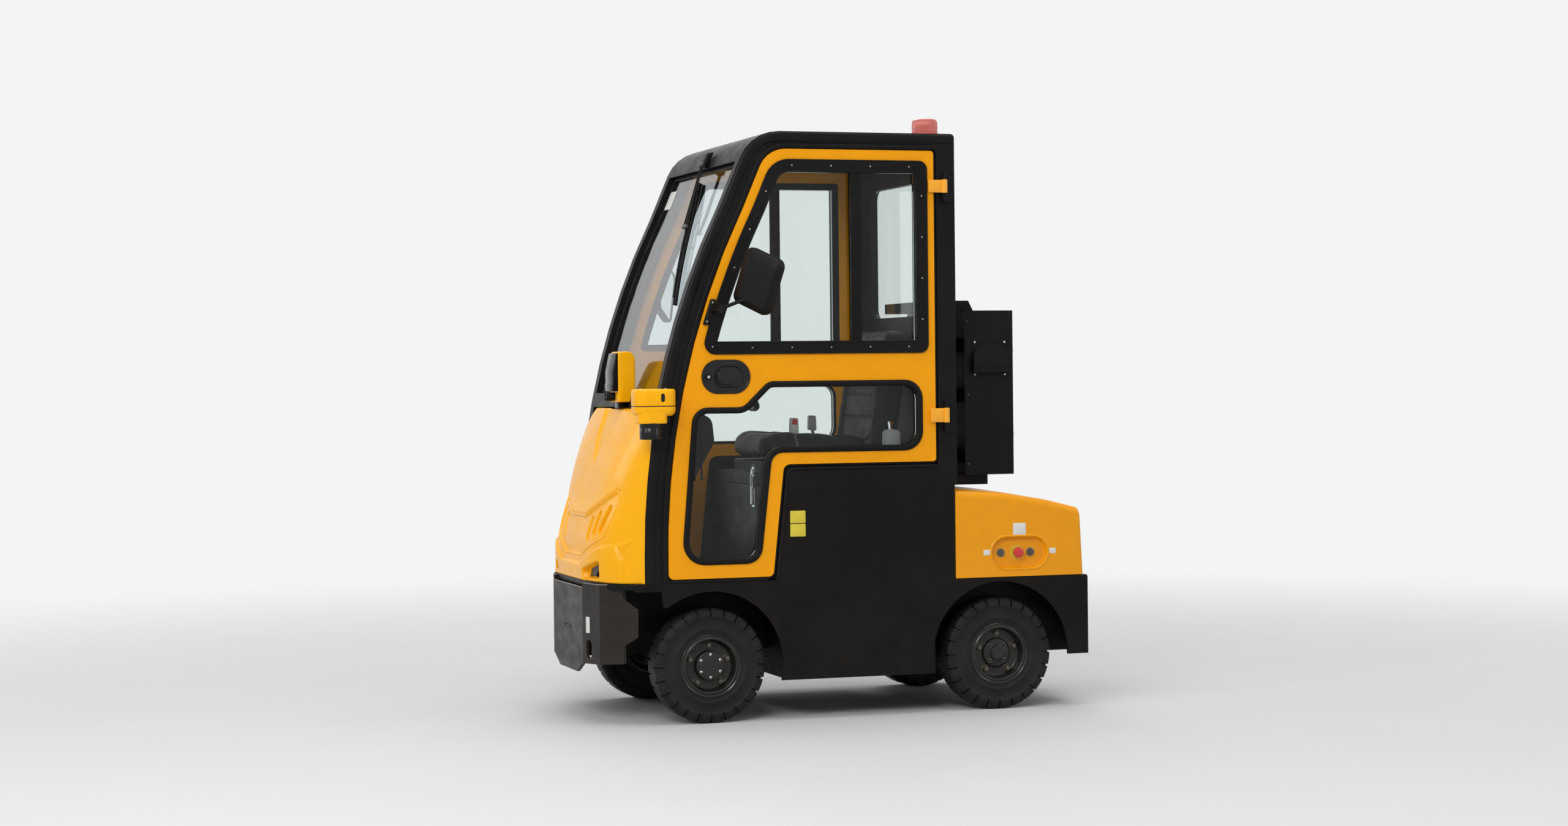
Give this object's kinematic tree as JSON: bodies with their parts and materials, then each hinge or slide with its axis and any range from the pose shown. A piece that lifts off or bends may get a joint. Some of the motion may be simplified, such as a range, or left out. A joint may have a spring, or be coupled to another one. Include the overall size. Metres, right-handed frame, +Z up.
{
  "type": "airport baggage tug",
  "caption": "Compact electric baggage tug with a glazed closed cab, curved nose, black skirts, rear cowl, sensor pods and an equipment cabinet behind the cab.",
  "frame": {"origin": "on the floor, in the middle of the box around the whole vehicle", "axes": "+X forward, +Y to the left side, +Z up"},
  "size_m": [1.964, 1.4458, 2.186],
  "materials": {
    "yellow_paint": "gloss",
    "black_frame": "satin powder coat",
    "black_plastic": "fine grain",
    "cast_black": "painted",
    "battery_case": "satin",
    "glass": "clear",
    "seal_rubber": "matt",
    "tyre": "matt",
    "rim_black": "gloss",
    "vinyl": "seat cover",
    "lamp_glass": "clear",
    "beacon_lens": "translucent",
    "sensor_dark": "smooth",
    "steel": "bare",
    "mirror_shell": "fine grain"
  },
  "bodies": {
    "chassis": {"side_skirts": "black_frame", "front_frame": "black_frame", "battery_tray": "black_frame", "rear_frame": "black_frame", "cab_floor": "black_frame", "front_bumper": "black_frame", "nose_cowl": "yellow_paint", "lamps": "lamp_glass", "rear_cowl": "yellow_paint", "rear_controls": "black_plastic", "tow_hitch": "black_frame", "cab_frame": "black_frame", "roof": "black_frame", "cab_trim": "black_plastic", "windscreen": "glass", "cab_seals": "seal_rubber", "rear_window": "glass", "wiper": "black_plastic", "beacon": "beacon_lens", "dashboard": "black_plastic", "seat_box": "black_frame", "seat_cushion": "vinyl", "seat_back": "vinyl", "front_axle": "cast_black", "drive_axle": "cast_black", "battery": "battery_case", "sensor_box": "yellow_paint", "sensor_optics": "sensor_dark", "corner_module": "yellow_paint", "cabinet_mount": "black_frame", "cabinet_body": "black_frame"},
    "door_left": {"door_left_panel": "yellow_paint", "door_left_trim": "seal_rubber", "door_left_glass": "glass", "door_left_hardware": "black_plastic", "mirror_left": "mirror_shell"},
    "door_right": {"door_right_panel": "yellow_paint", "door_right_trim": "seal_rubber", "door_right_glass": "glass", "door_right_hardware": "black_plastic", "mirror_right": "mirror_shell"},
    "knuckle_left": {"knuckle_left": "cast_black"},
    "knuckle_right": {"knuckle_right": "cast_black"},
    "tie_rod": {"tie_rod": "steel"},
    "steering_wheel": {"steering_wheel": "black_plastic"},
    "cabinet_door": {"cabinet_door": "black_frame"},
    "wheel_front_left": {"tyre_front_left": "tyre", "rim_front_left": "rim_black"},
    "wheel_front_right": {"tyre_front_right": "tyre", "rim_front_right": "rim_black"},
    "wheel_rear_left": {"tyre_rear_left": "tyre", "rim_rear_left": "rim_black"},
    "wheel_rear_right": {"tyre_rear_right": "tyre", "rim_rear_right": "rim_black"}
  },
  "joints": [
    {"name": "steer_left", "type": "hinge", "parent": "chassis", "child": "knuckle_left", "pos_m": [0.571, 0.3, 0.206], "axis": [0, 0, 1], "range_deg": [-35, 35]},
    {"name": "steer_right", "type": "hinge", "parent": "chassis", "child": "knuckle_right", "pos_m": [0.571, -0.3, 0.206], "axis": [0, 0, 1], "range_deg": [-35, 35]},
    {"name": "tie_rod_pivot", "type": "hinge", "parent": "knuckle_left", "child": "tie_rod", "pos_m": [0.471, 0.3, 0.132], "axis": [0, 0, 1], "range_deg": [-35, 35]},
    {"name": "wheel_front_left_spin", "type": "hinge", "parent": "knuckle_left", "child": "wheel_front_left", "pos_m": [0.571, 0.4065, 0.206], "axis": [0, 1, 0], "continuous": true},
    {"name": "wheel_front_right_spin", "type": "hinge", "parent": "knuckle_right", "child": "wheel_front_right", "pos_m": [0.571, -0.4065, 0.206], "axis": [0, 1, 0], "continuous": true},
    {"name": "wheel_rear_left_spin", "type": "hinge", "parent": "chassis", "child": "wheel_rear_left", "pos_m": [-0.541, 0.4065, 0.206], "axis": [0, 1, 0], "continuous": true},
    {"name": "wheel_rear_right_spin", "type": "hinge", "parent": "chassis", "child": "wheel_rear_right", "pos_m": [-0.541, -0.4065, 0.206], "axis": [0, 1, 0], "continuous": true},
    {"name": "steering_wheel_turn", "type": "hinge", "parent": "chassis", "child": "steering_wheel", "pos_m": [0.39, 0, 1.225], "axis": [-0.6157, 0, 0.788], "range_deg": [-540, 540]},
    {"name": "door_left_swing", "type": "hinge", "parent": "chassis", "child": "door_left", "pos_m": [-0.329, 0.495, 1.5], "axis": [0, 0, 1], "range_deg": [0, 95]},
    {"name": "door_right_swing", "type": "hinge", "parent": "chassis", "child": "door_right", "pos_m": [-0.329, -0.495, 1.5], "axis": [0, 0, -1], "range_deg": [0, 95]},
    {"name": "cabinet_door_swing", "type": "hinge", "parent": "chassis", "child": "cabinet_door", "pos_m": [-0.652, -0.308, 1.17], "axis": [0, 0, 1], "range_deg": [0, 110]}
  ],
  "couplings": [
    {"joint": "steer_right", "follows": "steer_left", "ratio": 1},
    {"joint": "tie_rod_pivot", "follows": "steer_left", "ratio": -1}
  ]
}
